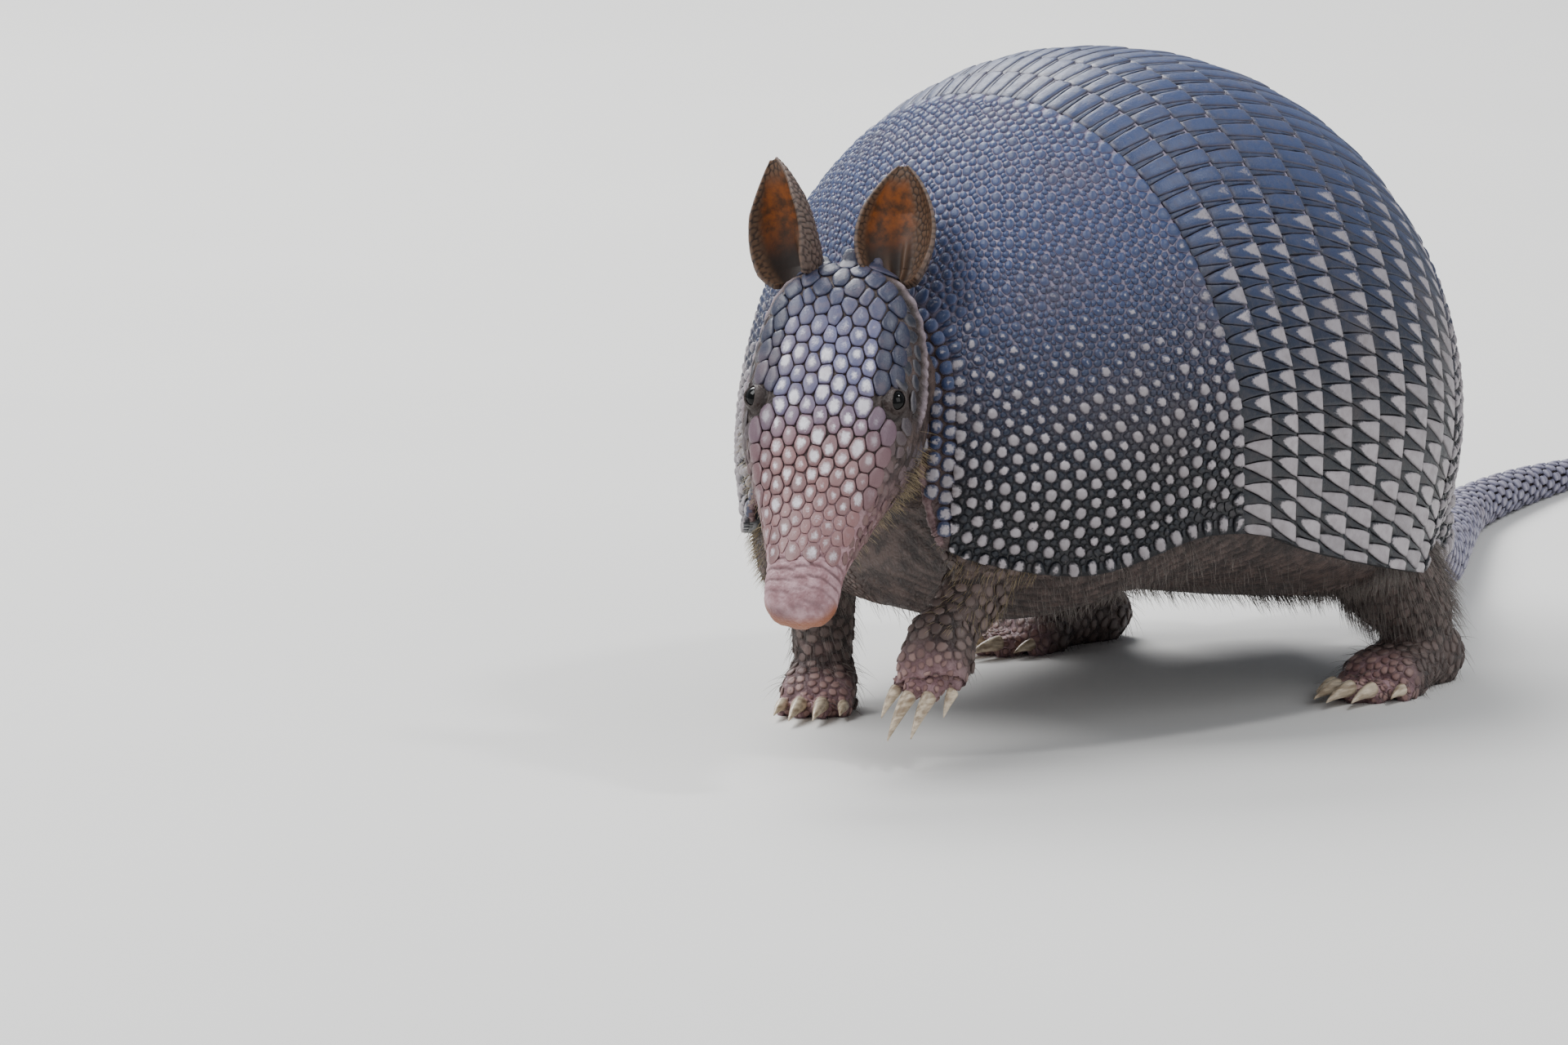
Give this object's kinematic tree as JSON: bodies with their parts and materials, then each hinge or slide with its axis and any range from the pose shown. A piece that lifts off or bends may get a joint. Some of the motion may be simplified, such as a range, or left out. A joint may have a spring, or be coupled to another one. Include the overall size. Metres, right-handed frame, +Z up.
{
  "type": "armadillo",
  "caption": "Life-size long-nosed armadillo, standing with its head turned aside and lowered, one forefoot lifted and its tail trailing on the floor.",
  "frame": {"origin": "on the floor, under the middle of the bounding box", "axes": "+X to the animal's left, +Y to its rear (it faces -Y), +Z up"},
  "size_m": [0.2122, 0.57, 0.1815],
  "materials": {
    "skin": "dry wrinkled skin with sparse hair",
    "face": "small horny scales, bare pink nose",
    "ear": "pebbled thin skin",
    "eye": "wet black eye",
    "shell": "satin horn over bone, small round scutes",
    "band": "satin horn over bone, triangular scutes",
    "claw": "worn horn",
    "tail": "satin horn rings"
  },
  "bodies": {
    "root": {"band_1": "band", "band_2": "band", "band_3": "band", "band_4": "band", "band_5": "band", "band_6": "band", "band_7": "band", "band_8": "band", "band_9": "band", "ear_left": "ear", "ear_right": "ear", "eye_left": "eye", "eye_right": "eye", "foreclaw_left_1": "claw", "foreclaw_left_2": "claw", "foreclaw_left_3": "claw", "foreclaw_left_4": "claw", "foreclaw_right_1": "claw", "foreclaw_right_2": "claw", "foreclaw_right_3": "claw", "foreclaw_right_4": "claw", "forefoot_left": "skin", "forefoot_right": "skin", "foreleg_left": "skin", "foreleg_right": "skin", "head": "face", "hindclaw_left_1": "claw", "hindclaw_left_2": "claw", "hindclaw_left_3": "claw", "hindclaw_left_4": "claw", "hindclaw_left_5": "claw", "hindclaw_right_1": "claw", "hindclaw_right_2": "claw", "hindclaw_right_3": "claw", "hindclaw_right_4": "claw", "hindclaw_right_5": "claw", "hindfoot_left": "skin", "hindfoot_right": "skin", "hindleg_left": "skin", "hindleg_right": "skin", "neck": "skin", "pelvic_shield": "shell", "scapular_shield": "shell", "tail_1": "tail", "tail_2": "tail", "tail_3": "tail", "tail_4": "tail", "trunk": "skin"}
  },
  "joints": []
}
